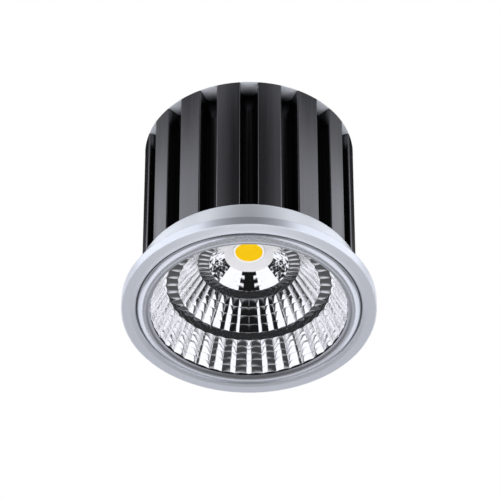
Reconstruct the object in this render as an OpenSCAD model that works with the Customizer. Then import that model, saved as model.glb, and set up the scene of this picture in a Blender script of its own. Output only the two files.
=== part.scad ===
// Round LED module: a faceted reflector over a chip-on-board light source, in a
// turned front ring on a finned heat sink, with a terminal block on the rear plate.
// The light faces down (-Z). The origin is on the axis, level with the crest of the retaining ring.

/* [Reflector] */
// Diameter of the neck, at the light source
neck_d = 9.7; // [8:0.1:12]
// Radial run of the inner tier
tier1_w = 3.05; // [2:0.05:4]
// Height of the inner tier
tier1_h = 2.45; // [1.8:0.05:4]
// Width of the flat step between the inner and the middle tier
step1_w = 2.3; // [1.5:0.1:4]
// Radial run of the middle tier
tier2_w = 3.9; // [3:0.1:5]
// Height of the middle tier
tier2_h = 5.65; // [4.5:0.05:7]
// Width of the flat step between the middle and the outer tier
step2_w = 2.3; // [1.5:0.1:4]
// Radial run of the outer tier
tier3_w = 3.1; // [2:0.1:4.5]
// Height of the outer tier
tier3_h = 6.1; // [5.5:0.1:8]
// Wall thickness
reflector_wall = 0.8; // [0.6:0.05:1.2]
// Width of the flange round the mouth
flange_w = 1.45; // [1.2:0.05:2.5]
// Thickness of the flange round the mouth
flange_t = 0.8; // [0.5:0.05:1.2]
// Number of facets round each row
facet_columns = 44; // [32:2:52]
// Rows of facets in the inner tier
tier1_rows = 5; // [3:1:6]
// Rows of facets in the middle tier
tier2_rows = 4; // [3:1:6]
// Rows of facets in the outer tier
tier3_rows = 5; // [3:1:6]
// How far the middle of a facet stands proud, for each unit of its width
facet_pillow = 0.1; // [0.02:0.01:0.14]

/* [Retaining ring] */
// Thickness of the lip over the reflector's flange
lip_t = 0.5; // [0.4:0.05:1]
// How far the lip's inner edge stays outside the reflector's mouth
lip_setback = 0.05; // [0:0.05:0.4]
// Height of the lip's crest over its inner edge
lip_crest = 0.33; // [0.1:0.01:0.4]
// Height of the lip's crest over the front face
lip_proud = 0.45; // [0.3:0.01:0.6]
// Distance of the crest from the lip's inner edge
crest_offset = 1.2; // [0.8:0.05:1.3]
// Width of the crest
crest_w = 0.45; // [0.2:0.05:0.6]
// Radial thickness of the sleeve behind the lip
sleeve_wall = 0.9; // [0.6:0.05:1.5]
// How far the sleeve reaches behind the reflector's flange
sleeve_extra = 0.2; // [0.1:0.05:0.3]

/* [Front ring] */
// Width of the rim outside the neck
rim_w = 2.55; // [1.5:0.05:6]
// Thickness of the rim
rim_t = 2.1; // [1.9:0.1:4]
// Width of the ledge under the retaining ring
ledge_w = 1; // [0.8:0.05:1.2]
// Wall of the neck next to the rim
neck_wall_base = 1.45; // [1.4:0.05:2]
// Wall of the neck next to the heat sink
neck_wall_top = 0.9; // [0.8:0.05:1.4]
// Thickness of the web that is screwed to the heat sink
web_t = 1.5; // [1.4:0.05:2]
// Thickness of the web's lip, which closes the ends of the slots
web_lip_t = 0.5; // [0.4:0.05:0.8]
// Chamfer on the inner edge of the front face
groove_w = 0.3; // [0.1:0.05:0.5]
// Width of the shallow bevel outside that chamfer
bevel_w = 0.8; // [0.4:0.05:1]
// Depth of the shallow bevel
bevel_h = 0.14; // [0.05:0.01:0.2]
// Chamfer on the outer edges of the rim
rim_chamfer = 0.12; // [0.05:0.01:0.3]

/* [Heat sink] */
// Height of the heat sink
sink_h = 34; // [30:0.5:45]
// Number of fins
fin_count = 16; // [12:4:20]
// Width of the slots between the fins
slot_w = 3.4; // [2.6:0.1:3.8]
// Depth of the slots between the fins
slot_depth = 4.15; // [3.8:0.05:4.6]
// Distance of the fins' outer faces inside the top of the neck
fin_setback = 0.77; // [0.3:0.01:1.2]
// Rounding of the fins' outer edges
fin_edge_r = 0.3; // [0.1:0.05:0.5]
// Width of the wiring chamber at the rear
chamber_w = 6; // [5:0.2:8]

/* [Light source] */
// Side of the square substrate
substrate_side = 13.5; // [12.5:0.1:16]
// Thickness of the substrate
substrate_t = 1; // [0.6:0.05:1.3]
// Diameter of the light-emitting surface
emitter_d = 5.42; // [4.5:0.02:6.4]
// Thickness of the phosphor layer
phosphor_t = 0.45; // [0.3:0.05:0.5]
// Width of the dam round the phosphor
dam_w = 0.4; // [0.3:0.01:0.6]
// Height of the dam
dam_h = 0.6; // [0.5:0.05:0.8]
// Thickness of the thermal pad
pad_t = 0.2; // [0.1:0.05:0.4]
// Height of the holder
holder_h = 2.6; // [2.5:0.05:3.5]
// Distance of the holder's screws from the substrate
holder_screw_offset = 2.45; // [2.1:0.05:3]
// Width of the holder outside its screws
holder_edge = 2.3; // [2:0.05:3]
// Width of the contact springs
contact_w = 1.4; // [1:0.05:2]
// Thickness of the contact springs
contact_t = 0.25; // [0.2:0.05:0.3]
// Length of a spring's foot
contact_foot = 0.8; // [0.6:0.05:0.9]
// Wall between the substrate and the wire entries of the holder
entry_wall = 0.55; // [0.4:0.05:0.8]

/* [Rear plate] */
// Thickness of the rear plate
plate_t = 1.2; // [1.1:0.1:3]
// Width of the chamfer round the rear plate
plate_chamfer = 1.4; // [0.8:0.1:2]
// Distance of the plate's screws inside the bottom of the slots
plate_screw_inset = 3; // [2:0.1:4]

/* [Terminal block] */
// Wall beside the contacts
terminal_side = 0.9; // [0.6:0.05:2]
// Wall at the ends of the contacts
terminal_end = 1.15; // [0.8:0.05:2]
// Height over the contacts
terminal_head = 2.4; // [2:0.1:4]
// Wall between the clamp screws and the fixing screw
pole_wall = 0.3; // [0.3:0.05:0.8]
// Width of a brass contact
brass_w = 4; // [3.6:0.1:4.4]
// Length of a brass contact
brass_l = 6.5; // [5:0.1:7]
// Height of a brass contact
brass_h = 4.6; // [4.3:0.1:5]
// Diameter of the wire bore in the brass
wire_bore_d = 2.4; // [2:0.1:2.6]
// Diameter of the wire entry in the body
wire_entry_d = 3.2; // [3:0.1:3.6]
// Thickness of the floor under the contacts
terminal_floor = 1; // [0.8:0.1:1.6]
// Thickness of the brass under the wire bore
wire_floor = 0.5; // [0.4:0.05:0.8]
// Depth of the clamp screws below the top
screw_recess = 1; // [0.5:0.1:1.3]
// Rounding of the upright edges
terminal_edge_r = 0.8; // [0.3:0.1:1.2]
// Diameter of the contact's tail
tail_d = 1; // [0.8:0.05:1.2]
// Wall of the bush round the tail
bush_wall = 0.9; // [0.6:0.05:1.1]
// Length of the tail under the rear plate
tail_l = 0.7; // [0.4:0.1:1.5]

/* [Leads] */
// Diameter over the insulation
lead_d = 1.6; // [1.2:0.05:1.8]
// Diameter of the conductor
conductor_d = 0.7; // [0.5:0.05:0.9]
// Bend radius at the middle of the lead
lead_bend_r = 2; // [1.8:0.1:2.2]
// Stripped length at each end
strip_l = 0.8; // [0.6:0.05:1]
// Straight length under the stripped end at the terminal
lead_rise = 0.4; // [0.2:0.1:1]
// Diameter of the channels through the heat sink
channel_d = 2.6; // [2.2:0.1:2.8]

/* [Screws] */
// Diameter of the ring screws
ring_screw_d = 1.6; // [1.4:0.1:1.8]
// Length of the ring screws
ring_screw_l = 6; // [4:0.5:8]
// Number of ring screws
ring_screw_count = 4; // [2:2:4]
// Number of the rear plate's screws
plate_screw_count = 4; // [2:2:4]
// Diameter of the holder screws
holder_screw_d = 2; // [1.6:0.1:2.2]
// Length of the holder screws under the head
holder_screw_l = 6; // [4:0.5:8]
// Diameter of the rear plate's screws
plate_screw_d = 2; // [1.6:0.1:2.2]
// Length of the rear plate's screws
plate_screw_l = 6; // [4:0.5:8]
// Diameter of the clamp screws of the terminal block
clamp_screw_d = 2.6; // [2:0.1:2.8]
// Diameter of the screw that fixes the terminal block
fixing_screw_d = 2; // [1.6:0.1:2.1]

/* [Clearances] */
// Between the reflector's flange and the retaining ring
flange_gap = 0.1; // [0.05:0.01:0.2]
// Between the retaining ring and its seat
seat_gap = 0.05; // [0.02:0.01:0.1]
// Between the reflector and the web of the front ring
web_gap = 0.3; // [0.2:0.05:0.4]
// Round what sits in the heat sink's pocket
pocket_gap = 0.3; // [0.2:0.05:0.5]
// Round the light source in its holder
holder_gap = 0.1; // [0.05:0.01:0.2]
// Round a screw in its thread
thread_gap = 0.05; // [0.02:0.01:0.1]
// Round a screw or a tail in a plain hole
hole_gap = 0.1; // [0.05:0.01:0.15]

/* [Hidden] */
$fn = 96;
eps = 0.01;

// Heights, from the crest of the retaining ring upwards
face_z = lip_proud;
rim_back_z = face_z + rim_t;
mouth_z = lip_crest + lip_t;
flange_z = mouth_z + flange_t;
seat_depth = flange_z + sleeve_extra;
step2_z = mouth_z + tier3_h;
step1_z = step2_z + tier2_h;
neck_z = step1_z + tier1_h;
pocket_z = neck_z + holder_h;
substrate_z = pocket_z - pad_t - substrate_t;

// Corners of the reflector's inner profile, from the neck to the mouth: [radius, height]
neck_p = [neck_d / 2, neck_z];
tier1_p = [neck_p[0] + tier1_w, step1_z];
step1_p = [tier1_p[0] + step1_w, step1_z];
tier2_p = [step1_p[0] + tier2_w, step2_z];
step2_p = [tier2_p[0] + step2_w, step2_z];
mouth_p = [step2_p[0] + tier3_w, mouth_z];
flange_r = mouth_p[0] + flange_w;

// Direction away from the axis, square to the profile from a to b
function outward(a, b) = let(d = (b - a) / norm(b - a)) [-d[1], d[0]];
// Corner b of the profile a-b-c, moved out by the wall thickness
function wall_corner(a, b, c) =
    let(n1 = outward(a, b), n2 = outward(b, c))
    b + reflector_wall * (n1 + n2) / (1 + n1 * n2);

// Corners of the reflector's outer profile
tier1_o = wall_corner(neck_p, tier1_p, step1_p);
step1_o = wall_corner(tier1_p, step1_p, tier2_p);
tier2_o = wall_corner(step1_p, tier2_p, step2_p);
step2_o = wall_corner(tier2_p, step2_p, mouth_p);
neck_o = [tier1_o[0] - (neck_z - tier1_o[1]) * tier1_w / tier1_h, neck_z];
// Radius of the outer tier's outer face at the height z
function tier3_outer(z) = step2_o[0] + (step2_o[1] - z) * tier3_w / tier3_h;
flange_o = [tier3_outer(flange_z), flange_z];

// Heights behind the reflector
web_lip_z = step2_o[1] + web_gap;
ring_h = web_lip_z + web_lip_t;
web_z = ring_h - web_t;
sink_top = ring_h + sink_h;
plate_top = sink_top + plate_t;

// Radii of the rings, worked out from the reflector outwards
lip_r = mouth_p[0] + lip_setback;
crest_r = lip_r + crest_offset;
sleeve_inner_r = flange_r + flange_gap;
sleeve_outer_r = sleeve_inner_r + sleeve_wall;
seat_r = sleeve_outer_r + seat_gap;
neck_bore_r = seat_r - ledge_w;
neck_base_r = neck_bore_r + neck_wall_base;
neck_top_r = neck_bore_r + neck_wall_top;
rim_r = neck_base_r + rim_w;
web_r = tier3_outer(web_z) + web_gap;
ring_screw_r = (web_r + neck_bore_r) / 2;

// Turn of the front (-Y), which a slot of the heat sink faces
front_turn = 270;

// Radii and places in the heat sink
fin_r = neck_top_r - fin_setback;
fin_pitch = 360 / fin_count;
first_fin = front_turn + fin_pitch / 2;
holder_screw_y = substrate_side / 2 + holder_screw_offset;
holder_r = holder_screw_y + holder_edge;
channel_x = holder_r + lead_bend_r;
pocket_r = max(tier2_o[0], channel_x + channel_d / 2) + pocket_gap;
web_lip_r = pocket_r + pocket_gap;
tail_z = sink_top - tail_l;
lead_top_z = tail_z - strip_l;
lead_run_z = lead_top_z - lead_rise - lead_bend_r;
chamber_z = lead_run_z - lead_bend_r;
chamber_end = channel_x + channel_d / 2 + pocket_gap;
plate_screw_r = fin_r - slot_depth - plate_screw_inset;
plate_screw_turn = 45;

// Forms of the screws, for each unit of their diameter, and what a tapped hole is deeper
csk_head = 1.9;
csk_depth = 0.45;
pan_head = 1.9;
pan_h = 0.6;
pan_sink = 0.45;
drive_l = 0.6;
drive_w = 0.25;
drive_depth = 0.3;
tap_runout = 1;

// Places in the light source
dam_r = emitter_d / 2 + dam_w;
aperture_r = dam_r + holder_gap;
recess_side = substrate_side + 2 * holder_gap;
recess_z = substrate_z - holder_gap;
lead_entry_z = neck_z + holder_h / 2;
entry_x = recess_side / 2 + entry_wall;
contact_x = substrate_side / 2 - 2 * contact_foot;
contact_end = entry_x + strip_l - holder_gap;
spring_z = lead_entry_z - conductor_d / 2 - contact_t;
spring_groove = spring_z - contact_t - holder_gap;

// Sizes and places of the terminal block
clamp_hole_d = clamp_screw_d + 4 * hole_gap;
fixing_head_d = fixing_screw_d * pan_head;
fixing_hole_d = fixing_head_d + 2 * hole_gap;
pole_offset = (fixing_hole_d + clamp_hole_d) / 2 + pole_wall;
terminal_l = 2 * (pole_offset + brass_w / 2 + hole_gap + terminal_side);
terminal_w = brass_l + 2 * (hole_gap + terminal_end);
terminal_h = terminal_floor + brass_h + terminal_head;
brass_z = plate_top + terminal_floor;
wire_z = brass_z + wire_bore_d / 2 + wire_floor;
brass_top = brass_z + brass_h;
bush_r = tail_d / 2 + bush_wall;
terminal_top = plate_top + terminal_h;

// Puts its children at each of count places on a circle round the axis
module around(count, radius, start = 0) {
    for (i = [0 : count - 1])
        rotate(start + i * 360 / count) translate([radius, 0, 0]) children();
}

// Puts its children at both sides of the middle, along X
module both_sides() {
    for (turn = [0, 180])
        rotate(turn) children();
}

// Countersunk screw that points up, with the outer face of its head at z = 0
module countersunk_screw(d, l) {
    head_d = d * csk_head;
    difference() {
        union() {
            cylinder(d1 = head_d, d2 = d, h = d * csk_depth);
            cylinder(d = d, h = l);
        }
        cross_drive(head_d * drive_l, d * drive_w, d * drive_depth);
    }
}

// Hole for a countersunk screw, through a plate of thickness t
module countersunk_hole(d, t) {
    gap_d = d + 2 * hole_gap;
    head_d = d * csk_head + 2 * hole_gap;
    translate([0, 0, -eps]) cylinder(d = gap_d, h = t + 2 * eps);
    translate([0, 0, -eps]) cylinder(d1 = head_d + 2 * eps, d2 = gap_d, h = d * csk_depth + eps);
}

// Cross recess in a screw head, upwards from z = 0
module cross_drive(l, w, depth) {
    for (turn = [0, 90])
        rotate(turn) translate([-l / 2, -w / 2, -eps]) cube([l, w, depth + eps]);
}

// Section of one slot along +X, with a round bottom and rounded fin edges
module slot_section() {
    half = slot_w / 2;
    bottom_r = fin_r - slot_depth + half;
    edge_x = sqrt(pow(fin_r - fin_edge_r, 2) - pow(half + fin_edge_r, 2));
    edge_y = half + fin_edge_r;
    beyond = 1.1;
    translate([bottom_r, 0]) circle(r = half);
    translate([bottom_r, -half]) square([fin_r * beyond - bottom_r, slot_w]);
    for (side = [0, 1])
        mirror([0, side]) difference() {
            polygon([
                [edge_x, half - eps], [fin_r * beyond, half - eps],
                [edge_x * beyond, edge_y * beyond], [edge_x, edge_y]
            ]);
            translate([edge_x, edge_y]) circle(r = fin_edge_r);
        }
}

// Section of the finned bar, with a slot at the front and a fin to each side of it
module fin_section() {
    difference() {
        circle(r = fin_r);
        for (i = [0 : fin_count - 1])
            rotate(front_turn + i * fin_pitch) slot_section();
    }
}

// Long hole along X with round ends, for the wiring chamber
module chamber_section() {
    straight = chamber_end - chamber_w / 2;
    both_sides() translate([straight, 0]) circle(d = chamber_w);
    square([2 * straight, chamber_w], center = true);
}

module heat_sink() color("#26272b") {
    ring_tap = ring_screw_l - web_t + tap_runout;
    holder_tap = holder_screw_l - holder_h + tap_runout;
    plate_tap = plate_screw_l - plate_t + tap_runout;
    difference() {
        translate([0, 0, ring_h]) linear_extrude(sink_h) fin_section();
        translate([0, 0, ring_h - eps]) cylinder(r = pocket_r, h = pocket_z - ring_h + eps);
        translate([0, 0, chamber_z]) linear_extrude(sink_top - chamber_z + eps) chamber_section();
        both_sides() translate([channel_x, 0, pocket_z - eps])
            cylinder(d = channel_d, h = chamber_z - pocket_z + 2 * eps);
        around(ring_screw_count, ring_screw_r, first_fin)
            translate([0, 0, ring_h - eps])
            cylinder(d = ring_screw_d + 2 * thread_gap, h = ring_tap + eps);
        around(2, holder_screw_y, front_turn) translate([0, 0, pocket_z - eps])
            cylinder(d = holder_screw_d + 2 * thread_gap, h = holder_tap + eps);
        around(plate_screw_count, plate_screw_r, plate_screw_turn)
            translate([0, 0, sink_top - plate_tap])
            cylinder(d = plate_screw_d + 2 * thread_gap, h = plate_tap + eps);
    }
}

module front_ring() color("#b6bac4") {
    bevel_z = face_z + bevel_h;
    difference() {
        rotate_extrude() polygon([
            [seat_r + groove_w, bevel_z],
            [seat_r + groove_w + bevel_w, face_z],
            [rim_r - rim_chamfer, face_z],
            [rim_r, face_z + rim_chamfer],
            [rim_r, rim_back_z - rim_chamfer],
            [rim_r - rim_chamfer, rim_back_z],
            [neck_base_r, rim_back_z],
            [neck_top_r, ring_h],
            [web_lip_r, ring_h],
            [web_lip_r, web_lip_z],
            [web_r, web_lip_z],
            [web_r, web_z],
            [neck_bore_r, web_z],
            [neck_bore_r, seat_depth],
            [seat_r, seat_depth],
            [seat_r, bevel_z + groove_w]
        ]);
        around(ring_screw_count, ring_screw_r, first_fin) translate([0, 0, web_z])
            countersunk_hole(ring_screw_d, web_t);
    }
}

module retaining_ring() color("#b9bdc7") {
    rotate_extrude() polygon([
        [lip_r, mouth_z],
        [lip_r, lip_crest],
        [crest_r, 0],
        [crest_r + crest_w, 0],
        [sleeve_outer_r, lip_proud],
        [sleeve_outer_r, seat_depth],
        [sleeve_inner_r, seat_depth],
        [sleeve_inner_r, mouth_z]
    ]);
}

// Points from a to b, without b, in equal steps
function rows(a, b, count) = [for (i = [0 : count - 1]) a + (b - a) * i / count];

// Rings of the reflector, along its inner face to the mouth and back along its outer face
inner_rings = concat(
    rows(neck_p, tier1_p, tier1_rows),
    rows(tier1_p, step1_p, 1),
    rows(step1_p, tier2_p, tier2_rows),
    rows(tier2_p, step2_p, 1),
    rows(step2_p, mouth_p, tier3_rows),
    [mouth_p]
);
outer_rings = [
    [flange_r, mouth_z], [flange_r, flange_z], flange_o,
    step2_o, tier2_o, step1_o, tier1_o, neck_o
];
rings = concat(inner_rings, outer_rings);
facet_rows = len(inner_rings) - 1;
facet_turn = 360 / facet_columns;

function on_circle(p, turn) = [p[0] * cos(turn), p[0] * sin(turn), p[1]];
// Index of the point in one ring and one column
function at(ring, column) = (ring % len(rings)) * facet_columns + column % facet_columns;
// Index of the middle of a facet
function middle(row, column) = (len(rings) + row) * facet_columns + column;
// Middle of a facet in the profile, raised towards the light
function raised(a, b) =
    let(m = (a + b) / 2, width = m[0] * 2 * sin(facet_turn / 2))
    m * [[cos(facet_turn / 2), 0], [0, 1]] - outward(a, b) * facet_pillow * width;

module reflector() color("#dfe1e6") {
    points = concat(
        [for (p = rings, c = [0 : facet_columns - 1]) on_circle(p, c * facet_turn)],
        [for (r = [0 : facet_rows - 1], c = [0 : facet_columns - 1])
            on_circle(raised(rings[r], rings[r + 1]), (c + 0.5) * facet_turn)]
    );
    facets = [for (r = [0 : facet_rows - 1], c = [0 : facet_columns - 1], k = [0 : 3])
        let(corner = [at(r, c), at(r, c + 1), at(r + 1, c + 1), at(r + 1, c)])
        [corner[k], corner[(k + 1) % 4], middle(r, c)]];
    back = [for (r = [facet_rows : len(rings) - 1], c = [0 : facet_columns - 1])
        [at(r, c), at(r, c + 1), at(r + 1, c + 1), at(r + 1, c)]];
    polyhedron(points = points, faces = concat(facets, back));
}

module cob_substrate() color("#e8e6de") {
    translate([0, 0, substrate_z + substrate_t / 2])
        cube([substrate_side, substrate_side, substrate_t], center = true);
}

module cob_phosphor() color("#fbc913") {
    translate([0, 0, substrate_z - phosphor_t]) cylinder(d = emitter_d, h = phosphor_t);
}

module cob_dam() color("#f4f4f0") {
    translate([0, 0, substrate_z - dam_h]) difference() {
        cylinder(r = dam_r, h = dam_h);
        translate([0, 0, -eps]) cylinder(d = emitter_d, h = dam_h + 2 * eps);
    }
}

module cob_holder() color("#e9ebef") {
    head_d = holder_screw_d * pan_head + 2 * hole_gap;
    difference() {
        translate([0, 0, neck_z]) cylinder(r = holder_r, h = holder_h);
        translate([0, 0, neck_z])
            cylinder(r1 = neck_d / 2, r2 = aperture_r, h = recess_z - neck_z + eps);
        translate([-recess_side / 2, -recess_side / 2, recess_z])
            cube([recess_side, recess_side, pocket_z - recess_z + eps]);
        around(2, holder_screw_y, front_turn) {
            translate([0, 0, neck_z - eps])
                cylinder(d = holder_screw_d + 2 * hole_gap, h = holder_h + 2 * eps);
            translate([0, 0, neck_z - eps]) cylinder(d = head_d, h = pan_sink * holder_screw_d + eps);
        }
        both_sides() {
            groove_x = contact_x - holder_gap;
            spring_w = contact_w + 2 * holder_gap;
            translate([groove_x, -spring_w / 2, spring_groove])
                cube([contact_end + holder_gap - groove_x, spring_w, recess_z - spring_groove + eps]);
            translate([entry_x, 0, lead_entry_z]) rotate([0, 90, 0])
                cylinder(d = lead_d + 2 * hole_gap, h = holder_r - entry_x);
        }
    }
}

module thermal_pad() color("#8f98a5") {
    translate([0, 0, pocket_z - pad_t / 2])
        cube([substrate_side, substrate_side, pad_t], center = true);
}

// Spring with one foot on the substrate and one under the conductor
module holder_contacts() color("#c89b55") {
    both_sides() translate([0, -contact_w / 2, 0]) {
        translate([contact_x, 0, spring_z - contact_t])
            cube([contact_end - contact_x, contact_w, contact_t]);
        translate([contact_x, 0, spring_z - contact_t])
            cube([contact_foot, contact_w, substrate_z - spring_z + contact_t]);
        translate([contact_end - contact_foot, 0, spring_z - contact_t])
            cube([contact_foot, contact_w, 2 * contact_t]);
    }
}

module holder_screws() color("#c9ccd2") {
    head_d = holder_screw_d * pan_head;
    seat = neck_z + pan_sink * holder_screw_d;
    around(2, holder_screw_y, front_turn) translate([0, 0, seat - pan_h * holder_screw_d]) difference() {
        union() {
            cylinder(d = head_d, h = pan_h * holder_screw_d);
            cylinder(d = holder_screw_d, h = pan_h * holder_screw_d + holder_screw_l);
        }
        cross_drive(head_d * drive_l, holder_screw_d * drive_w, holder_screw_d * drive_depth);
    }
}

module ring_screws() color("#c9ccd2") {
    around(ring_screw_count, ring_screw_r, first_fin) translate([0, 0, web_z])
        countersunk_screw(ring_screw_d, ring_screw_l);
}

module rear_plate() color("#bcc0c8") {
    difference() {
        rotate_extrude() polygon([
            [0, sink_top], [fin_r, sink_top],
            [fin_r - plate_chamfer, plate_top], [0, plate_top]
        ]);
        around(plate_screw_count, plate_screw_r, plate_screw_turn)
            translate([0, 0, plate_top]) mirror([0, 0, 1])
            countersunk_hole(plate_screw_d, plate_t);
        around(2, pole_offset) translate([0, 0, sink_top - eps])
            cylinder(r = bush_r + hole_gap, h = plate_t + 2 * eps);
        translate([0, 0, sink_top - eps])
            cylinder(d = fixing_screw_d + 2 * thread_gap, h = plate_t + 2 * eps);
    }
}

module rear_plate_screws() color("#c9ccd2") {
    around(plate_screw_count, plate_screw_r, plate_screw_turn)
        translate([0, 0, plate_top]) mirror([0, 0, 1])
        countersunk_screw(plate_screw_d, plate_screw_l);
}

// Rectangle with round corners, centred on the axis
module round_section(l, w, r) {
    square([l - 2 * r, w], center = true);
    square([l, w - 2 * r], center = true);
    for (x = [-1, 1], y = [-1, 1])
        translate([x * (l / 2 - r), y * (w / 2 - r)]) circle(r = r);
}

module terminal_body() color("#f1f1ee") {
    difference() {
        union() {
            translate([0, 0, plate_top]) linear_extrude(terminal_h)
                round_section(terminal_l, terminal_w, terminal_edge_r);
            around(2, pole_offset) translate([0, 0, sink_top]) cylinder(r = bush_r, h = plate_t + eps);
        }
        around(2, pole_offset) {
            translate([-brass_w / 2 - hole_gap, -brass_l / 2 - hole_gap, brass_z])
                cube([brass_w + 2 * hole_gap, brass_l + 2 * hole_gap, brass_h + hole_gap]);
            translate([0, 0, brass_top])
                cylinder(d = clamp_hole_d, h = terminal_top - brass_top + eps);
            translate([0, 0, sink_top - eps])
                cylinder(d = tail_d + 2 * hole_gap, h = brass_z - sink_top + 2 * eps);
        }
        for (x = [-pole_offset, pole_offset])
            translate([x, -terminal_w / 2 - eps, wire_z]) rotate([-90, 0, 0])
                cylinder(d = wire_entry_d, h = (terminal_w - brass_l) / 2 + eps);
        translate([0, 0, plate_top - eps])
            cylinder(d = fixing_screw_d + 2 * hole_gap, h = terminal_h + 2 * eps);
        translate([0, 0, brass_top])
            cylinder(d = fixing_hole_d, h = terminal_top - brass_top + eps);
    }
}

module terminal_contacts() color("#c9a24c") {
    around(2, pole_offset) difference() {
        union() {
            translate([-brass_w / 2, -brass_l / 2, brass_z]) cube([brass_w, brass_l, brass_h]);
            translate([0, 0, tail_z]) cylinder(d = tail_d, h = brass_z - tail_z + eps);
        }
        translate([0, -brass_l / 2 - eps, wire_z]) rotate([-90, 0, 0])
            cylinder(d = wire_bore_d, h = brass_l + 2 * eps);
        translate([0, 0, wire_z])
            cylinder(d = clamp_screw_d + 2 * thread_gap, h = brass_top - wire_z + eps);
    }
}

module clamp_screws() color("#d5d7db") {
    tip_z = wire_z + wire_bore_d / 2 + 2 * hole_gap;
    head_z = terminal_top - screw_recess;
    around(2, pole_offset) difference() {
        translate([0, 0, tip_z]) cylinder(d = clamp_screw_d, h = head_z - tip_z);
        translate([0, 0, head_z - drive_depth * clamp_screw_d / 2])
            cube([clamp_screw_d * 2, clamp_screw_d * drive_w, drive_depth * clamp_screw_d], center = true);
    }
}

module fixing_screw() color("#c9ccd2") {
    head_h = pan_h * fixing_screw_d;
    difference() {
        union() {
            translate([0, 0, brass_top]) cylinder(d = fixing_head_d, h = head_h);
            translate([0, 0, sink_top]) cylinder(d = fixing_screw_d, h = brass_top - sink_top + eps);
        }
        translate([0, 0, brass_top + head_h]) mirror([0, 0, 1])
            cross_drive(fixing_head_d * drive_l, fixing_screw_d * drive_w, fixing_screw_d * drive_depth);
    }
}

// Quarter bend of a round bar, from +X at the origin towards +Y, round the point [0, r]
module bend(d, r) {
    translate([0, r, 0]) rotate(-90) rotate_extrude(angle = 90) translate([r, 0]) circle(d = d);
}

// Insulated lead on the +X side: out of the holder, up its channel and in to the terminal
module lead() {
    start_x = entry_x + strip_l;
    in_x = channel_x - lead_bend_r;
    up_z = lead_entry_z + lead_bend_r;
    end_x = pole_offset + lead_bend_r;
    translate([start_x, 0, lead_entry_z]) rotate([0, 90, 0])
        cylinder(d = lead_d, h = in_x - start_x);
    translate([in_x, 0, lead_entry_z]) rotate([90, 0, 0]) bend(lead_d, lead_bend_r);
    translate([channel_x, 0, up_z]) cylinder(d = lead_d, h = lead_run_z - lead_bend_r - up_z);
    translate([in_x, 0, lead_run_z]) rotate([-90, 0, 0]) bend(lead_d, lead_bend_r);
    translate([end_x, 0, lead_run_z]) rotate([0, 90, 0]) cylinder(d = lead_d, h = in_x - end_x);
    translate([end_x, 0, lead_run_z]) mirror([1, 0, 0]) rotate([90, 0, 0]) bend(lead_d, lead_bend_r);
    translate([pole_offset, 0, lead_run_z + lead_bend_r])
        cylinder(d = lead_d, h = lead_top_z - lead_run_z - lead_bend_r);
}

module lead_positive() color("#b3241f") lead();

module lead_negative() color("#1d1d20") mirror([1, 0, 0]) lead();

// Stripped ends of both leads
module lead_tips() color("#c77b46") {
    both_sides() {
        translate([entry_x, 0, lead_entry_z]) rotate([0, 90, 0]) cylinder(d = conductor_d, h = strip_l);
        translate([pole_offset, 0, lead_top_z]) cylinder(d = conductor_d, h = strip_l);
    }
}

heat_sink();
front_ring();
retaining_ring();
reflector();
cob_substrate();
cob_phosphor();
cob_dam();
cob_holder();
thermal_pad();
holder_contacts();
holder_screws();
ring_screws();
rear_plate();
rear_plate_screws();
terminal_body();
terminal_contacts();
clamp_screws();
fixing_screw();
lead_positive();
lead_negative();
lead_tips();
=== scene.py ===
"""Round LED module: a faceted reflector in a silver ring on a black finned heat sink."""

import math

import bmesh
import bpy
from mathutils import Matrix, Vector

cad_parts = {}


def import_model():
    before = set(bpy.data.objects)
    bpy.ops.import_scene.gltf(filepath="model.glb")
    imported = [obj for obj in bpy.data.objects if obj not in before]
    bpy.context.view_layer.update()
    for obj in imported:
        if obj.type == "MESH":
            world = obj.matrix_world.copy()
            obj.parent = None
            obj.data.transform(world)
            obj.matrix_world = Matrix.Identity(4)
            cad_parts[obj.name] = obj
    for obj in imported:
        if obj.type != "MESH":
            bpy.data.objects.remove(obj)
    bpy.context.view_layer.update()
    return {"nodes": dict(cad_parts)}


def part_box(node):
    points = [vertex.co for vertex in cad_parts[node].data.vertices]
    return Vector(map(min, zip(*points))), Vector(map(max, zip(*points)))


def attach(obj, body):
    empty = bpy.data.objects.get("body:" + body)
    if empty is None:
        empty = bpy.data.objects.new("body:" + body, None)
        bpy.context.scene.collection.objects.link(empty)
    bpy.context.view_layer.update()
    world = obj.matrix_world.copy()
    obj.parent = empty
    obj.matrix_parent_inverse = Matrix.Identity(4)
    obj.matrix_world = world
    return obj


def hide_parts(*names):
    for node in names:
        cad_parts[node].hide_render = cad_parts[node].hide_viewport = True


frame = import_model()
nodes = frame["nodes"]

MM = 0.001


def extent(node):
    """Outer radius, lowest and highest point of a solid round the axis, in millimetres."""
    low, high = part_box(node)
    return high[0] / MM, low[2] / MM, high[2] / MM


# Reflector, in millimetres: heights from the frame, and corners of the inner profile from the neck
# to the mouth as [radius, height]
FLANGE_R, MOUTH_Z, NECK_Z = extent("reflector")
TIER1_H = 2.45
TIER2_H = 5.65
STEP1_Z = NECK_Z - TIER1_H
STEP2_Z = STEP1_Z - TIER2_H
NECK = (4.85, NECK_Z)
TIER1 = (7.9, STEP1_Z)
STEP1 = (10.2, STEP1_Z)
TIER2 = (14.1, STEP2_Z)
STEP2 = (16.4, STEP2_Z)
MOUTH = (19.5, MOUTH_Z)
PROFILE = (NECK, TIER1, STEP1, TIER2, STEP2, MOUTH)
REFLECTOR_WALL = 0.8
FLANGE_T = 0.8

# Facets: columns round the bowl, and rows in each stretch of the profile, where a step has one
FACET_COLUMNS = 44
STEP_ROWS = 1
PROFILE_ROWS = (5, STEP_ROWS, 4, STEP_ROWS, 5)
# Height of a facet's bulge across a column in each stretch, and of a step's, for each unit of its width
TIER_BULGE = (0.0, 0.0, 0.05, 0.0, 0.066)
STEP_BULGE = 0.024
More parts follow.
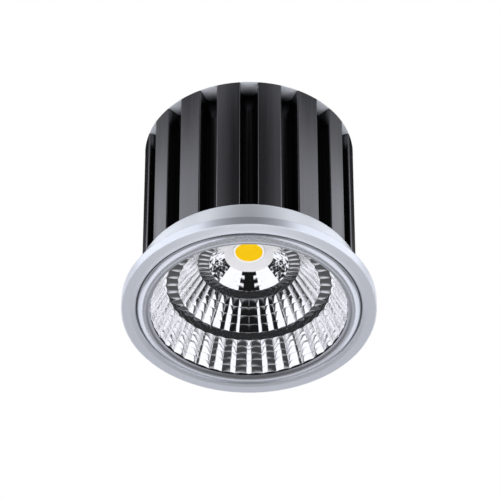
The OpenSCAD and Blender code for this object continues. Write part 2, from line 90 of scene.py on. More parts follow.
# Height of a facet's bulge along a row, and depth of the groove round it, for each unit of its length,
# and the power that keeps the groove narrow
ROW_BULGE = 0.006
ROW_GROOVE = 0.003
GROOVE_POWER = 10
# Sideways tilt of the facets in each stretch, to and fro like a chessboard, for each unit of their width
TIER_TWIST = (0.016, 0.0, 0.004, 0.0, 0.004)
# Places of the points along a facet from -1 to 1, and number of points across a column
ROW_PLACES = (-1, -0.95, -0.88, -0.75, -0.4, 0, 0.4, 0.75, 0.88, 0.95)
COLUMN_CUTS = 10

# Retaining ring, in millimetres: its sleeve, its lip with the height of its edge that stays silver below
# the painted shadow, and the crest and the arch of its bead
SLEEVE_OUTER_R, CREST_Z, SLEEVE_TOP = extent("retaining_ring")
SLEEVE_WALL = 0.9
SLEEVE_INNER_R = SLEEVE_OUTER_R - SLEEVE_WALL
LIP_R = 19.4
LIP_UNDERCUT = 0.2
LIP_EDGE = 0.12
BEAD_R = 20.5
ARCH_R = 1.8
BEAD_STEPS = 32
# Radii between which the ring turns from its duller flank to its smoother crest
FLANK_R = (BEAD_R - 0.2, BEAD_R + 0.3)
FLANK_ROUGHNESS = 0.3
CREST_ROUGHNESS = 0.22
# Levels of painted light at radii from the lip to the outer edge: painted shade on the flank, a painted
# highlight on the crest and a painted shadow in the joint
LIP_PAINTED_LIGHT = [
    (BEAD_R - 0.5, 0.42),
    (BEAD_R - 0.2, 0.95),
    (BEAD_R + 0.25, 0.95),
    (SLEEVE_OUTER_R - 0.32, 0.72),
    (SLEEVE_OUTER_R - 0.24, 0.3),
    (SLEEVE_OUTER_R, 0.3),
]

# Front ring, in millimetres: where its walls start behind the face, and the back of its rim
FACE_Z = extent("front_ring")[1]
WALL_Z = FACE_Z + 0.12
RIM_BACK_Z = FACE_Z + 2.1
FACE_ROUGHNESS = 0.4
WALL_ROUGHNESS = 0.28
# Silver of the face, then the rim's walls painted darker as painted shade and the neck painted lighter as
# painted light
SILVER_COLOUR = (0.8, 0.83, 0.9)
RIM_PAINTED_SHADE_COLOUR = (0.71, 0.74, 0.81)
NECK_PAINTED_LIGHT_COLOUR = (0.91, 0.95, 1.0)
# Radii between which the painted shadow on the chamfer at the mouth of its bore fades to silver, and the
# colour of that painted shadow
JOINT_SHADOW_R = (SLEEVE_OUTER_R + 0.2, SLEEVE_OUTER_R + 0.4)
JOINT_SHADOW_COLOUR = (0.45, 0.47, 0.52)

# Rear plate, in millimetres: radii between which the painted shade on its underside fades from black to
# bare silver, and the height up to which its sides count as underside
PLATE_LOW = extent("rear_plate")[1]
PLATE_COLOUR = (0.88, 0.91, 1.0)
UNDERSIDE_SHADE_R = (17.0, 20.2)
UNDERSIDE_T = 0.1

# Black of the painted shade on the rear plate's underside and of the painted shadow under the retaining
# ring's lip
PAINTED_SHADOW_BLACK = (0.004, 0.004, 0.005)

# Radii in millimetres between which the heat sink's reflection goes from turned down in the slots, as
# painted shade, to satin
SLOT_SHADE_R = (19.6, 20.9)

# Light source, in millimetres: the sag of the phosphor, the power that keeps its middle flat, and the
# shares of its radius that have points
EMITTER_R, PHOSPHOR_LOW, SUBSTRATE_Z = extent("cob_phosphor")
PHOSPHOR_SAG = 0.06
SAG_POWER = 4
SAG_SHARES = (0.95, 0.85, 0.7, 0.5, 0.3)
DAM_R, DAM_LOW, _ = extent("cob_dam")
DAM_STEPS = 12

# Segments of a turned piece, and angles in degrees over which an edge stays sharp
LATHE_SEGMENTS = 256
FACET_SHARP = 16
METAL_SHARP = 35
SILICONE_SHARP = 60

# Detail of the noise in the finishes, the ends between which most of it lies, and samples of a round edge
GRAIN_DETAIL = 4.0
MARKS_DETAIL = 3.0
NOISE_ENDS = (0.3, 0.7)
EDGE_SAMPLES = 6

# Camera, in metres, fitted to the outlines of the ring and the fins
CAMERA_TARGET = Vector((0.0002, 0.0, 0.01652))
CAMERA_DISTANCE = 0.71266
CAMERA_ELEVATION = math.radians(-42.257)
CAMERA_LENS = 258.5
CAMERA_SENSOR = 36.0
CAMERA_CLIP = (0.01, 10)

# Light of the world: its levels in the middle and at the sides, and the shares of the way to a side
# between which it grows
WORLD_LEVELS = (0.25, 1.2)
WORLD_SIDES = (0.3, 0.6)

# Softboxes, in degrees and metres round the middle of the tent. Azimuth 0 is the camera's side (-Y) and
# 90 is +X. The first two stand at the right and again at the left.
SIDE_LAMPS = [
    {"name": "softbox", "azimuth": 75, "elevation": 20, "distance": 0.6, "size": 0.5, "watts": 0.3},
    {"name": "softbox_low", "azimuth": 62, "elevation": -46, "distance": 0.6, "size": 0.3, "watts": 0.42},
]
MIDDLE_LAMPS = [
    {"name": "softbox_top", "azimuth": 0, "elevation": 80, "distance": 0.7, "size": 0.6, "watts": 0.6},
    {
        "name": "softbox_front", "azimuth": 0, "elevation": -66, "distance": 0.05,
        "size": 0.03, "watts": 0.0105,
    },
]

# Light tent, in metres
TENT_CENTRE = Vector((0, 0, 0.02))
TENT_RADIUS = 0.17
TENT_SUBDIVISIONS = 5
TENT_DARK = 0.01
TENT_TINT = (0.93, 0.94, 1.0, 1.0)
# Panels of the tent, which is laid out round the left-right axis. turn goes round that axis: 0 is level
# towards the camera, 90 straight down, 180 level away from it and -90 straight up. lean goes from 0,
# halfway between left and right, to 90 at either side. rise is the height over the horizon. Each has its
# two ends and the width over which they soften. adds is what the panel adds to the brightness.
TENT_PANELS = [
    {"turn": (-30, 24, 6), "lean": (28, 91, 5), "rise": (-91, 2, 6), "adds": 1.1},
    {"turn": (24, 43, 6), "lean": (29, 91, 5), "adds": 1.1},
    {"turn": (43, 54, 4), "adds": 1.1},
    {"turn": (54, 72, 4), "lean": (15.2, 91, 3), "adds": 1.1},
    {"turn": (72, 176, 5), "lean": (22, 91, 5), "adds": 1.1},
    {"turn": (72, 138, 8), "lean": (-1, 22, 5), "adds": 0.02},
    {"turn": (126, 140, 8), "lean": (-1, 22, 5), "adds": 0.07},
    {"turn": (138, 158, 6), "lean": (-1, 22, 8), "adds": 0.7},
    {"turn": (158, 176, 6), "lean": (-1, 22, 8), "adds": 0.3},
    {"turn": (96, 128, 5), "lean": (49, 60, 4), "adds": -1.1},
    {"turn": (52, 128, 6), "lean": (73, 81, 3), "adds": -1.1},
    {"turn": (-4, 20, 12), "lean": (-1, 28, 5), "adds": 0.07},
    {"turn": (23, 28, 7), "lean": (-1, 28, 5), "adds": 0.6},
    {"turn": (-118, 0, 8), "lean": (18, 91, 22), "rise": (2, 42, 8), "adds": 0.4},
    {"turn": (-119, 0, 6), "lean": (30, 91, 12), "rise": (2, 42, 8), "adds": 0.95},
    {"turn": (-118, -74, 8), "lean": (30, 91, 12), "rise": (42, 54, 8), "adds": 0.3},
    {"turn": (-106, -48, 8), "lean": (-1, 30, 22), "adds": 0.75},
    {"turn": (-152, -119, 6), "lean": (8, 60, 8), "rise": (2, 37, 4), "adds": 0.95},
]

# Floor, in metres: half its width, how far it lies under the ring, and the distances from the origin
# between which it fades into the white
FLOOR_HALF = 4.0
FLOOR_DROP = 0.0002
FLOOR_FADE = (0.03, 0.25)
FLOOR_COLOUR = (0.9, 0.9, 0.9, 1)


# Meshes


def link(data, name):
    """A new object for a mesh, a lamp or a camera."""
    piece = bpy.data.objects.new(name, data)
    bpy.context.scene.collection.objects.link(piece)
    return piece


def on_circle(radius, share, z):
    """Point at a share of the way round a circle about the axis."""
    a = 2 * math.pi * share
    return radius * math.cos(a), radius * math.sin(a), z


def turn_outward(mesh):
    """Turns all faces outwards."""
    grid = bmesh.new()
    grid.from_mesh(mesh)
    bmesh.ops.recalc_face_normals(grid, faces=grid.faces)
    grid.to_mesh(mesh)
    grid.free()


def mesh_piece(name, points, faces, sharp_angle):
    """A smooth shaded piece from points in millimetres, with edges over an angle kept sharp."""
    mesh = bpy.data.meshes.new(name)
    mesh.from_pydata([[c * MM for c in p] for p in points], [], faces)
    for polygon in mesh.polygons:
        polygon.use_smooth = True
    mesh.set_sharp_from_angle(angle=math.radians(sharp_angle))
    mesh.validate()
    turn_outward(mesh)
    return link(mesh, name)


def lathe(name, profile, sharp_angle=METAL_SHARP):
    """A closed profile of [radius, height] turned round the axis. Points on the axis are shared."""
    points = []
    rings = []
    for r, z in profile:
        if r == 0:
            rings.append([len(points)] * LATHE_SEGMENTS)
            points.append((0, 0, z))
            continue
        rings.append(list(range(len(points), len(points) + LATHE_SEGMENTS)))
        for k in range(LATHE_SEGMENTS):
            points.append(on_circle(r, k / LATHE_SEGMENTS, z))
    faces = []
    for i, ring in enumerate(rings):
        following = rings[(i + 1) % len(rings)]
        for k in range(LATHE_SEGMENTS):
            n = (k + 1) % LATHE_SEGMENTS
            face = []
            for index in (ring[k], following[k], following[n], ring[n]):
                if index not in face:
                    face.append(index)
            if len(face) > 2:
                faces.append(face)
    return mesh_piece(name, points, faces, sharp_angle)


def finish_piece(piece, slot, *replaced):
    """Hangs a piece on the part and hides the solid that it stands for."""
    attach(piece, "root")
    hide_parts(*replaced)


# Reflector


def side_of(a, b):
    """Direction away from the axis, square to the profile from a to b."""
    along = (Vector(b) - Vector(a)).normalized()
    return Vector((-along.y, along.x))


def inward_bulge(i):
    """Bulge across a column in tier i of the profile, measured towards the axis."""
    return TIER_BULGE[i] / abs(side_of(PROFILE[i], PROFILE[i + 1]).x)


def reflector_rings():
    """Rings of the inner face from the neck to the mouth.

    Each has its radius, its height, its bulges inwards and downwards, its groove and its tilt.
    """
    rings = []
    for i, rows in enumerate(PROFILE_ROWS):
        a = Vector(PROFILE[i])
        b = Vector(PROFILE[i + 1])
        row_length = (b - a).length / rows
        for row in range(rows):
            for t in ROW_PLACES:
                share = (row + (t + 1) / 2) / rows
                place = a.lerp(b, share)
                if rows == STEP_ROWS:
                    before = inward_bulge(i - 1)
                    after = inward_bulge(i + 1)
                    inward = before + (after - before) * share
                    rings.append((place.x, place.y, inward, STEP_BULGE * (1 - t * t), 0, 0))
                else:
                    groove = row_length * (ROW_GROOVE * abs(t) ** GROOVE_POWER + ROW_BULGE * t * t)
                    twist = TIER_TWIST[i] * math.cos(math.pi * t / 2) * (-1) ** row
                    rings.append((place.x, place.y, inward_bulge(i), 0, groove, twist))
    rings.append((*MOUTH, inward_bulge(len(PROFILE_ROWS) - 1), 0, 0, 0))
    return rings


def wall_corner(a, b, c):
    """Corner b of the profile a-b-c, moved out by the wall thickness."""
    n1 = side_of(a, b)
    n2 = side_of(b, c)
    return Vector(b) + (n1 + n2) * (REFLECTOR_WALL / (1 + n1.dot(n2)))


def reflector_back():
    """Outer profile, from the flange back to the neck."""
    tier1 = wall_corner(NECK, TIER1, STEP1)
    step1 = wall_corner(TIER1, STEP1, TIER2)
    tier2 = wall_corner(STEP1, TIER2, STEP2)
    step2 = wall_corner(TIER2, STEP2, MOUTH)
    flange_z = MOUTH[1] + FLANGE_T
    flange_in = step2.x + (step2.y - flange_z) * (MOUTH[0] - STEP2[0]) / (STEP2[1] - MOUTH[1])
    neck_in = tier1.x - (NECK[1] - tier1.y) * (TIER1[0] - NECK[0]) / (NECK[1] - TIER1[1])
    return [
        (FLANGE_R, MOUTH[1]), (FLANGE_R, flange_z), (flange_in, flange_z),
        tuple(step2), tuple(tier2), tuple(step1), tuple(tier1), (neck_in, NECK[1]),
    ]


def reflector():
    """Metallised bowl whose facets bulge towards the light, in columns and rows."""
    columns = FACET_COLUMNS * COLUMN_CUTS
    half_turn = math.pi / FACET_COLUMNS
    points = []
    for radius, z, inward, downward, groove, twist in reflector_rings():
        width = 2 * radius * math.sin(half_turn)
        for k in range(columns):
            s = 2 * (k % COLUMN_CUTS) / COLUMN_CUTS - 1
            chord = math.cos(half_turn) / math.cos(s * half_turn)
            crown = width * (1 - s * s)
            tilt = twist * width * s * (-1) ** (k // COLUMN_CUTS)
            r = radius * chord - inward * crown + groove + tilt
            points.append(on_circle(r, k / columns, z - downward * crown))
    for r, z in reflector_back():
        for k in range(columns):
            points.append(on_circle(r, k / columns, z))
    rings = len(points) // columns
    faces = []
    for i in range(rings):
        n = (i + 1) % rings
        for k in range(columns):
            m = (k + 1) % columns
            faces.append((i * columns + k, i * columns + m, n * columns + m, n * columns + k))
    return mesh_piece("reflector_bowl", points, faces, FACET_SHARP)


# Retaining ring and light source


def arch_height(a):
    """Height of the bead's surface, at an angle round its arch from the crest."""
    return CREST_Z + ARCH_R * (1 - math.cos(a))


def retaining_ring():
    """Thin ring over the flange of the reflector, whose lip is a low arched bead."""
    inner = -math.asin((BEAD_R - LIP_R) / ARCH_R)
    outer = math.asin((SLEEVE_OUTER_R - BEAD_R) / ARCH_R)
    profile = [(LIP_R + LIP_UNDERCUT, MOUTH_Z)]
    for k in range(BEAD_STEPS + 1):
        a = inner + (outer - inner) * k / BEAD_STEPS
        profile.append((BEAD_R + ARCH_R * math.sin(a), arch_height(a)))
    profile += [(SLEEVE_OUTER_R, SLEEVE_TOP), (SLEEVE_INNER_R, SLEEVE_TOP), (SLEEVE_INNER_R, MOUTH_Z)]
    return lathe("retaining_ring_turned", profile)


def dam():
    """Bead of silicone round the phosphor, with a flattened round top."""
    middle = (EMITTER_R + DAM_R) / 2
    half = (DAM_R - EMITTER_R) / 2
    profile = [(DAM_R, SUBSTRATE_Z), (EMITTER_R, SUBSTRATE_Z)]
    for k in range(DAM_STEPS + 1):
        a = math.pi * k / DAM_STEPS
        across = math.copysign(math.sqrt(abs(math.cos(a))), math.cos(a))
        profile.append((middle - half * across, DAM_LOW + half - half * math.sqrt(abs(math.sin(a)))))
    return lathe("cob_dam_bead", profile, SILICONE_SHARP)


def phosphor():
    """Light-emitting layer, which sags a little between its edges."""
    profile = [(0, SUBSTRATE_Z), (EMITTER_R, SUBSTRATE_Z), (EMITTER_R, PHOSPHOR_LOW)]
    for share in SAG_SHARES:
        profile.append((EMITTER_R * share, PHOSPHOR_LOW + PHOSPHOR_SAG * (1 - share ** SAG_POWER)))
    profile.append((0, PHOSPHOR_LOW + PHOSPHOR_SAG))
    return lathe("cob_phosphor_layer", profile, SILICONE_SHARP)


# Node trees


class Nodes:
    """A node tree, with short calls for the nodes that the finishes and the studio need."""

    def __init__(self, tree):
        self.tree = tree

    def node(self, kind, **settings):
        """A new node with its settings."""
        made_node = self.tree.nodes.new(kind)
        for key, value in settings.items():
            setattr(made_node, key, value)
        return made_node

    def feed(self, value, socket):
        """Wires a socket to another one, or sets it to a constant."""
        if isinstance(value, bpy.types.NodeSocket):
            self.tree.links.new(value, socket)
        else:
            socket.default_value = value

    def calc(self, operation, *values, **settings):
        """Result of a sum with numbers or sockets."""
        made_node = self.node("ShaderNodeMath", operation=operation, **settings)
        for value, socket in zip(values, made_node.inputs):
            self.feed(value, socket)
        return made_node.outputs[0]

    def ramp(self, value, start, end, low=0.0, high=1.0, shape="SMOOTHSTEP"):
        """Goes from low to high while a value goes from start to end."""
        made_node = self.node("ShaderNodeMapRange", interpolation_type=shape)
        limits = {"From Min": start, "From Max": end, "To Min": low, "To Max": high}
        for name, limit in limits.items():
            made_node.inputs[name].default_value = limit
        self.feed(value, made_node.inputs["Value"])
        return made_node.outputs["Result"]

    def vector(self, operation, value, output):
        """Output of a sum with a vector."""
        made_node = self.node("ShaderNodeVectorMath", operation=operation)
        self.feed(value, made_node.inputs[0])
        return made_node.outputs[output]

    def split(self, value):
        """Outputs with the X, Y and Z of a vector."""
        made_node = self.node("ShaderNodeSeparateXYZ")
        self.feed(value, made_node.inputs[0])
        return made_node.outputs

    def blend(self, factor, first, second, blend_type="MIX"):
        """Colour that goes from first to second with a factor. Each is a colour or a socket."""
        mix = self.node("ShaderNodeMix", data_type="RGBA", blend_type=blend_type)
        colour_a, colour_b = [socket for socket in mix.inputs if socket.type == "RGBA"]
        colour_out = [socket for socket in mix.outputs if socket.type == "RGBA"][0]
        self.feed(factor, mix.inputs[0])
        self.feed(first, colour_a)
        self.feed(second, colour_b)
        return colour_out


class Shader(Nodes):
    """A finish of the part. Its calls take lengths in millimetres."""

    def __init__(self, name, colour, roughness, metallic=0.0, ior=1.5):
        self.material = bpy.data.materials.new(name)
        self.material.use_nodes = True
        super().__init__(self.material.node_tree)
        self.inputs = self.tree.nodes["Principled BSDF"].inputs
        self.feed((*colour, 1), self.inputs["Base Color"])
        self.feed(roughness, self.inputs["Roughness"])
        self.feed(metallic, self.inputs["Metallic"])
        self.feed(ior, self.inputs["IOR"])

    def place(self, stretch=(1, 1, 1)):
        """Coordinates in the part's frame, stretched along the axes."""
        mapping = self.node("ShaderNodeMapping")
        mapping.inputs["Scale"].default_value = stretch
        self.feed(self.node("ShaderNodeTexCoord").outputs["Object"], mapping.inputs["Vector"])
        return mapping.outputs["Vector"]

    def radius(self):
        """Distance from the axis, in metres."""
        return self.vector("LENGTH", self.place(stretch=(1, 1, 0)), "Value")

    def height(self):
        """Height over the origin, in metres."""
        return self.split(self.place())["Z"]

    def radius_ramp(self, inner, outer, shape="SMOOTHSTEP"):
        """A value that goes from 0 to 1 between two distances from the axis."""
        return self.ramp(self.radius(), inner * MM, outer * MM, shape=shape)

    def above(self, z):
        """1 over a height, and 0 under it."""
        return self.calc("GREATER_THAN", self.height(), z * MM)

    def noise(self, scale, stretch=(1, 1, 1)):
        """Noise with a scale in lumps for each metre."""
        made_node = self.node("ShaderNodeTexNoise")
        made_node.inputs["Scale"].default_value = scale
        made_node.inputs["Detail"].default_value = GRAIN_DETAIL
        self.feed(self.place(stretch), made_node.inputs["Vector"])
        return made_node.outputs["Fac"]

    def turned(self, scale):
        """Noise that changes only with the radius and the height, like the marks of a lathe tool."""
        made_node = self.node("ShaderNodeTexNoise", noise_dimensions="1D")
        made_node.inputs["Scale"].default_value = scale
        made_node.inputs["Detail"].default_value = MARKS_DETAIL
        self.feed(self.calc("ADD", self.radius(), self.height()), made_node.inputs["W"])
        return made_node.outputs["Fac"]

    def span(self, source, low, high):
        """Goes from low to high between the ends of a noise or of a ramp."""
        return self.ramp(source, *NOISE_ENDS, low, high, shape="LINEAR")

    def vary(self, socket, source, low, high):
        """Lets a source move an input of the finish between two values."""
        self.feed(self.span(source, low, high), self.inputs[socket])

    def vary_colour(self, source, dark, light):
        """Lets a source move the base colour between two shades."""
        mixed = self.blend(self.span(source, 0, 1), (*dark, 1), (*light, 1))
        self.feed(mixed, self.inputs["Base Color"])

    def colour_so_far(self):
        """The output that feeds the base colour at this point."""
        return self.inputs["Base Color"].links[0].from_socket

    def bump(self, source, depth, edge=None):
        """Bump of a depth, over edges that look rounded by a radius."""
        made_node = self.node("ShaderNodeBump")
        if edge:
            bevel = self.node("ShaderNodeBevel", samples=EDGE_SAMPLES)
            bevel.inputs["Radius"].default_value = edge * MM
            self.feed(bevel.outputs["Normal"], made_node.inputs["Normal"])
        made_node.inputs["Distance"].default_value = depth * MM
        self.feed(source, made_node.inputs["Height"])
        self.feed(made_node.outputs["Normal"], self.inputs["Normal"])


# Finishes


def shade(colour, factor):
    """A colour made darker or lighter."""
    return tuple(min(1.0, c * factor) for c in colour)


def black_anodised():
    """Satin black with streaks along the extrusion and a fine etched grain, its reflection turned down in
    the slots as painted shade.
    """
    shader = Shader("black_anodised_satin", colour=(0.003, 0.003, 0.0035), roughness=0.2, ior=2.15)
    shader.feed((0.95, 0.95, 1.0, 1.0), shader.inputs["Specular Tint"])
    streaks = shader.noise(scale=2500, stretch=(1, 1, 0.02))
    grain = shader.noise(scale=9000)
    shader.vary("Roughness", streaks, low=0.16, high=0.23)
    shader.vary_colour(grain, dark=(0.002, 0.002, 0.0025), light=(0.004, 0.004, 0.0045))
    shader.bump(grain, depth=0.004, edge=0.12)
    # Painted shade: weaker reflection deep in the slots
    shader.vary("Specular IOR Level", shader.radius_ramp(*SLOT_SHADE_R), low=0.1, high=0.5)
    return shader.material


def silver_anodised(name, roughness, marks, metallic, depth, edge=None):
    """Satin silver, turned and etched: fine rings from the tool under a soft grain."""
    shader = Shader(name, SILVER_COLOUR, roughness, metallic=metallic)
    rings = shader.turned(marks)
    grain = shader.noise(scale=7000)
    shader.vary("Roughness", rings, low=roughness - 0.05, high=roughness + 0.05)
    shader.vary_colour(grain, dark=shade(SILVER_COLOUR, 0.96), light=shade(SILVER_COLOUR, 1.03))
    shader.bump(rings, depth, edge=edge)
    return shader


def lip_light_levels(shader):
    """Grey levels of painted shade, highlight and shadow on the retaining ring from its lip to its joint.
    """
    shades = shader.node("ShaderNodeValToRGB")
    shader.feed(shader.radius_ramp(LIP_R, SLEEVE_OUTER_R, "LINEAR"), shades.inputs[0])
    stops = shades.color_ramp.elements
    # New stops start halfway and are moved to their places afterwards
    while len(stops) < len(LIP_PAINTED_LIGHT):
        stops.new(0.5)
    for stop, (radius, level) in zip(stops, LIP_PAINTED_LIGHT):
        stop.position = (radius - LIP_R) / (SLEEVE_OUTER_R - LIP_R)
        stop.color = (level, level, level, 1)
    return shades.outputs["Color"]


def lip_silver():
    """Satin silver of the retaining ring, with painted shade, highlight and shadow from its lip to its
    joint, and a black painted shadow on its inner edge.
    """
    shader = silver_anodised("silver_retaining", CREST_ROUGHNESS, marks=5000, metallic=0.8, depth=0.0006)
    shader.vary("Roughness", shader.radius_ramp(*FLANK_R), low=FLANK_ROUGHNESS, high=CREST_ROUGHNESS)
    # Painted light: shade on the flank, a highlight on the crest and a shadow in the joint
    with_painted_light = shader.blend(1, shader.colour_so_far(), lip_light_levels(shader), "MULTIPLY")
    # Painted shadow: the ring's inner edge over the lip turns black
    lip_z = arch_height(math.asin((BEAD_R - LIP_R) / ARCH_R))
    under = shader.calc("SUBTRACT", 1, shader.above(lip_z + LIP_EDGE))
    outside_lip_shadow = shader.calc("MAXIMUM", under, shader.radius_ramp(LIP_R + LIP_UNDERCUT, BEAD_R))
    shader.feed(shader.blend(outside_lip_shadow, (*PAINTED_SHADOW_BLACK, 1), with_painted_light), shader.inputs["Base Color"])
    return shader.material


def ring_silver():
    """Satin silver of the front ring: an etched face, smoother walls with painted shade on the rim,
    painted light on the neck, and a painted shadow in the joint.
    """
    shader = silver_anodised(
        "silver_anodised_satin", FACE_ROUGHNESS, marks=6000, metallic=0.75, depth=0.002, edge=0.2
    )
    wall = shader.above(WALL_Z)
    neck = shader.above(RIM_BACK_Z)
    # Painted shade on the rim's walls and painted light on the neck
    lit_and_shaded_walls = shader.blend(neck, (*RIM_PAINTED_SHADE_COLOUR, 1), (*NECK_PAINTED_LIGHT_COLOUR, 1))
    silver = shader.blend(wall, shader.colour_so_far(), lit_and_shaded_walls)
    # Painted shadow in the joint with the retaining ring
    clear = shader.calc("MAXIMUM", shader.radius_ramp(*JOINT_SHADOW_R), neck)
    shader.feed(shader.blend(clear, (*JOINT_SHADOW_COLOUR, 1), silver), shader.inputs["Base Color"])
    shader.vary("Roughness", wall, low=FACE_ROUGHNESS, high=WALL_ROUGHNESS)
    return shader.material


def plate_silver():
    """Satin silver plate whose underside has painted shade, black towards the middle, apart from its outer
    edge.
    """
    shader = Shader("silver_plate_satin", PLATE_COLOUR, roughness=0.5)
    grain = shader.noise(scale=7000)
    shader.vary("Roughness", grain, low=0.45, high=0.55)
    shader.bump(grain, depth=0.002, edge=0.12)
    top = shader.above(PLATE_LOW + UNDERSIDE_T)
    shader.vary("Metallic", top, low=0.0, high=0.55)
    # Painted shade: the underside turns black from its outer edge inwards, where the slots are deep
    outside_underside_shade = shader.calc("MAXIMUM", shader.radius_ramp(*UNDERSIDE_SHADE_R), top)
    shader.feed(shader.blend(outside_underside_shade, (*PAINTED_SHADOW_BLACK, 1), (*PLATE_COLOUR, 1)), shader.inputs["Base Color"])
    return shader.material


def metallised():
    """Bright vapour-coated plastic, with faint clouds in the coat."""
    colour = (0.95, 0.95, 0.955)
    shader = Shader("metallised_coat", colour, roughness=0.04, metallic=1.0)
    clouds = shader.noise(scale=500)
    shader.vary("Roughness", clouds, low=0.025, high=0.06)
    shader.vary_colour(clouds, dark=shade(colour, 0.98), light=shade(colour, 1.02))
    return shader.material


def phosphor_yellow():
    """Yellow phosphor grains in clear silicone."""
    colour = (1.0, 0.6, 0.002)
    shader = Shader("phosphor_silicone", colour, roughness=0.4, ior=1.25)
    grain = shader.noise(scale=9000)
    shader.vary_colour(grain, dark=shade(colour, 0.93), light=shade(colour, 1.04))
    shader.bump(grain, depth=0.004)
    return shader.material


def moulding(name, colour, roughness):
    """Moulded plastic or rubber with a fine grain and slightly uneven gloss."""
    shader = Shader(name, colour, roughness)
    grain = shader.noise(scale=6000)
    clouds = shader.noise(scale=400)
    shader.vary("Roughness", clouds, low=roughness - 0.05, high=roughness + 0.06)
    shader.vary_colour(clouds, dark=shade(colour, 0.96), light=shade(colour, 1.02))
    shader.bump(grain, depth=0.003)
    return shader.material


def plain_metal(name, colour, roughness):
    """Plated or bare metal with patches of duller skin and fine scratches."""
    shader = Shader(name, colour, roughness, metallic=1.0)
    skin = shader.noise(scale=1500)
    scratches = shader.noise(scale=9000, stretch=(1, 0.1, 1))
    shader.vary("Roughness", skin, low=roughness - 0.07, high=roughness + 0.09)
    shader.vary_colour(skin, dark=shade(colour, 0.92), light=shade(colour, 1.04))
    shader.bump(scratches, depth=0.002)
    return shader.material


white = moulding("white_plastic_matte", colour=(0.76, 0.76, 0.79), roughness=0.45)
steel = plain_metal("steel_zinc", colour=(0.62, 0.63, 0.65), roughness=0.3)
brass = plain_metal("brass_plain", colour=(0.74, 0.53, 0.22), roughness=0.28)
finishes = {
    "heat_sink": black_anodised(),
    "front_ring": ring_silver(),
    "rear_plate": plate_silver(),
    "cob_substrate": moulding("ceramic_white", colour=(0.85, 0.84, 0.8), roughness=0.4),
    "cob_holder": white,
    "terminal_body": white,
    "thermal_pad": moulding("pad_grey", colour=(0.4, 0.43, 0.48), roughness=0.7),
    "holder_contacts": brass,
    "terminal_contacts": brass,
    "holder_screws": steel,
    "ring_screws": steel,
    "rear_plate_screws": steel,
    "clamp_screws": steel,
    "fixing_screw": steel,
    "lead_positive": moulding("insulation_red", colour=(0.5, 0.03, 0.02), roughness=0.4),
    "lead_negative": moulding("insulation_black", colour=(0.02, 0.02, 0.022), roughness=0.4),
    "lead_tips": plain_metal("copper_bare", colour=(0.72, 0.36, 0.2), roughness=0.3),
}
for name, material in finishes.items():
    nodes[name].data.materials.clear()
    nodes[name].data.materials.append(material)

silicone = moulding("silicone_white", colour=(0.95, 0.95, 0.93), roughness=0.4)
made = [
    (reflector(), metallised(), "metallised", "reflector"),
    (retaining_ring(), lip_silver(), "silver_anodised", "retaining_ring"),
    (dam(), silicone, "white_silicone", "cob_dam"),
    (phosphor(), phosphor_yellow(), "phosphor", "cob_phosphor"),
]
for piece, material, slot, replaced in made:
    piece.data.materials.append(material)
    finish_piece(piece, slot, replaced)


# Studio


def aim(thing, along):
    """Turns a camera or a lamp to look along a direction."""
    thing.rotation_mode = "QUATERNION"
    thing.rotation_quaternion = along.to_track_quat("-Z", "Y")


def hide_from(thing, *rays):
    """Makes an object invisible to some kinds of rays."""
    for kind in rays:
        setattr(thing, f"visible_{kind}", False)


def empty_material(name):
    """A material without nodes, and its tree."""
    material = bpy.data.materials.new(name)
    material.use_nodes = True
    material.node_tree.nodes.clear()
    return material, Nodes(material.node_tree)


def camera():
    """Tele camera that looks up at the module from below."""
    data = bpy.data.cameras.new("camera")
    data.lens = CAMERA_LENS
    data.sensor_width = CAMERA_SENSOR
    data.clip_start, data.clip_end = CAMERA_CLIP
    view = Vector((0, math.cos(CAMERA_ELEVATION), -math.sin(CAMERA_ELEVATION)))
    made_camera = link(data, "camera")
    made_camera.location = CAMERA_TARGET - view * CAMERA_DISTANCE
    aim(made_camera, view)
    bpy.context.scene.camera = made_camera


def world():
    """White to the camera and in mirrors. As a light, strong from both sides and weak in between."""
    made_world = bpy.data.worlds.new("studio")
    bpy.context.scene.world = made_world
    made_world.use_nodes = True
    net = Nodes(made_world.node_tree)
    background = net.tree.nodes["Background"]
    background.inputs["Color"].default_value = (1, 1, 1, 1)
    path = net.node("ShaderNodeLightPath")
    shown = path.outputs["Is Camera Ray"]
    for name in ("Is Glossy Ray", "Is Transmission Ray"):
        shown = net.calc("MAXIMUM", shown, path.outputs[name])
    where = net.node("ShaderNodeTexCoord")
    sideways = net.calc("ABSOLUTE", net.split(where.outputs["Generated"])["X"])
    level = net.node("ShaderNodeMix")
    level.inputs["B"].default_value = 1.0
    net.feed(shown, level.inputs["Factor"])
    net.feed(net.ramp(sideways, *WORLD_SIDES, *WORLD_LEVELS), level.inputs["A"])
    net.feed(level.outputs["Result"], background.inputs["Strength"])


def lamp(name, azimuth, elevation, distance, size, watts):
    """Square softbox that faces the module, and that only dull surfaces see."""
    data = bpy.data.lights.new(name, "AREA")
    data.shape = "SQUARE"
    data.size = size
    data.energy = watts
    box = link(data, name)
    a = math.radians(azimuth)
    e = math.radians(elevation)
    away = Vector((math.sin(a) * math.cos(e), -math.cos(a) * math.cos(e), math.sin(e)))
    box.location = TENT_CENTRE + away * distance
    aim(box, -away)
    hide_from(box, "glossy", "camera")


def lamps():
    """All softboxes, with those of the sides at the left and at the right."""
    for side, sign in (("left", -1), ("right", 1)):
        for row in SIDE_LAMPS:
            lamp(**dict(row, name=f"{row['name']}_{side}", azimuth=sign * row["azimuth"]))
    for row in MIDDLE_LAMPS:
        lamp(**row)


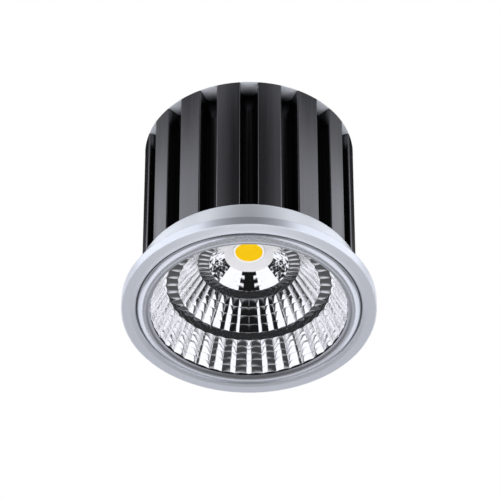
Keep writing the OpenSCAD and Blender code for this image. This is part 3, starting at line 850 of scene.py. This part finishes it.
def tent_angles(net):
    """Turn, lean and rise of a place on the tent, in degrees."""
    where = net.node("ShaderNodeTexCoord")
    direction = net.split(net.vector("NORMALIZE", where.outputs["Object"], "Vector"))
    forward = net.calc("MULTIPLY", direction["Y"], -1)
    downward = net.calc("MULTIPLY", direction["Z"], -1)
    angles = {
        "turn": net.calc("ARCTAN2", downward, forward),
        "lean": net.calc("ARCSINE", net.calc("ABSOLUTE", direction["X"])),
        "rise": net.calc("ARCSINE", direction["Z"]),
    }
    return {key: net.calc("DEGREES", angle) for key, angle in angles.items()}


def band(net, value, low, high, fade):
    """1 between two ends, which soften over a width, and 0 outside them."""
    start = net.ramp(value, low - fade / 2, low + fade / 2)
    stop = net.ramp(value, high - fade / 2, high + fade / 2)
    return net.calc("SUBTRACT", start, stop)


def tent():
    """Tent of pale and dark panels round the module, which only its polished surfaces see."""
    mesh = bpy.data.meshes.new("light_tent")
    grid = bmesh.new()
    bmesh.ops.create_icosphere(grid, subdivisions=TENT_SUBDIVISIONS, radius=TENT_RADIUS)
    grid.to_mesh(mesh)
    grid.free()
    shell = link(mesh, "light_tent")
    shell.location = TENT_CENTRE
    hide_from(shell, "camera", "diffuse", "shadow", "transmission", "volume_scatter")

    material, net = empty_material("light_tent")
    angles = tent_angles(net)
    total = TENT_DARK
    for panel in TENT_PANELS:
        part = panel["adds"]
        for key, angle in angles.items():
            if key in panel:
                part = net.calc("MULTIPLY", band(net, angle, *panel[key]), part)
        total = net.calc("ADD", part, total)
    emission = net.node("ShaderNodeEmission")
    emission.inputs["Color"].default_value = TENT_TINT
    net.feed(total, emission.inputs["Strength"])
    output = net.node("ShaderNodeOutputMaterial")
    net.feed(emission.outputs[0], output.inputs["Surface"])
    mesh.materials.append(material)


def floor():
    """Pale floor under the ring, which shows only from above and fades into the white around it."""
    mesh = bpy.data.meshes.new("floor")
    signs = ((-1, -1), (1, -1), (1, 1), (-1, 1))
    corners = [(x * FLOOR_HALF, y * FLOOR_HALF, -FLOOR_DROP) for x, y in signs]
    mesh.from_pydata(corners, [], [(0, 1, 2, 3)])
    plane = link(mesh, "floor")

    material, net = empty_material("floor_pale")
    path = net.node("ShaderNodeLightPath")
    face = net.node("ShaderNodeNewGeometry")
    seen = net.calc("SUBTRACT", path.outputs["Is Camera Ray"], face.outputs["Backfacing"], use_clamp=True)
    away = net.vector("LENGTH", face.outputs["Position"], "Value")
    shown = net.calc("MULTIPLY", seen, net.ramp(away, *FLOOR_FADE, low=1, high=0))
    clear = net.node("ShaderNodeBsdfTransparent")
    pale = net.node("ShaderNodeBsdfDiffuse")
    pale.inputs["Color"].default_value = FLOOR_COLOUR
    mix = net.node("ShaderNodeMixShader")
    net.feed(shown, mix.inputs["Fac"])
    net.feed(clear.outputs[0], mix.inputs[1])
    net.feed(pale.outputs[0], mix.inputs[2])
    output = net.node("ShaderNodeOutputMaterial")
    net.feed(mix.outputs[0], output.inputs["Surface"])
    mesh.materials.append(material)
    hide_from(plane, "shadow")


camera()
world()
tent()
floor()
lamps()

scene = bpy.context.scene
scene.view_settings.view_transform = "Standard"
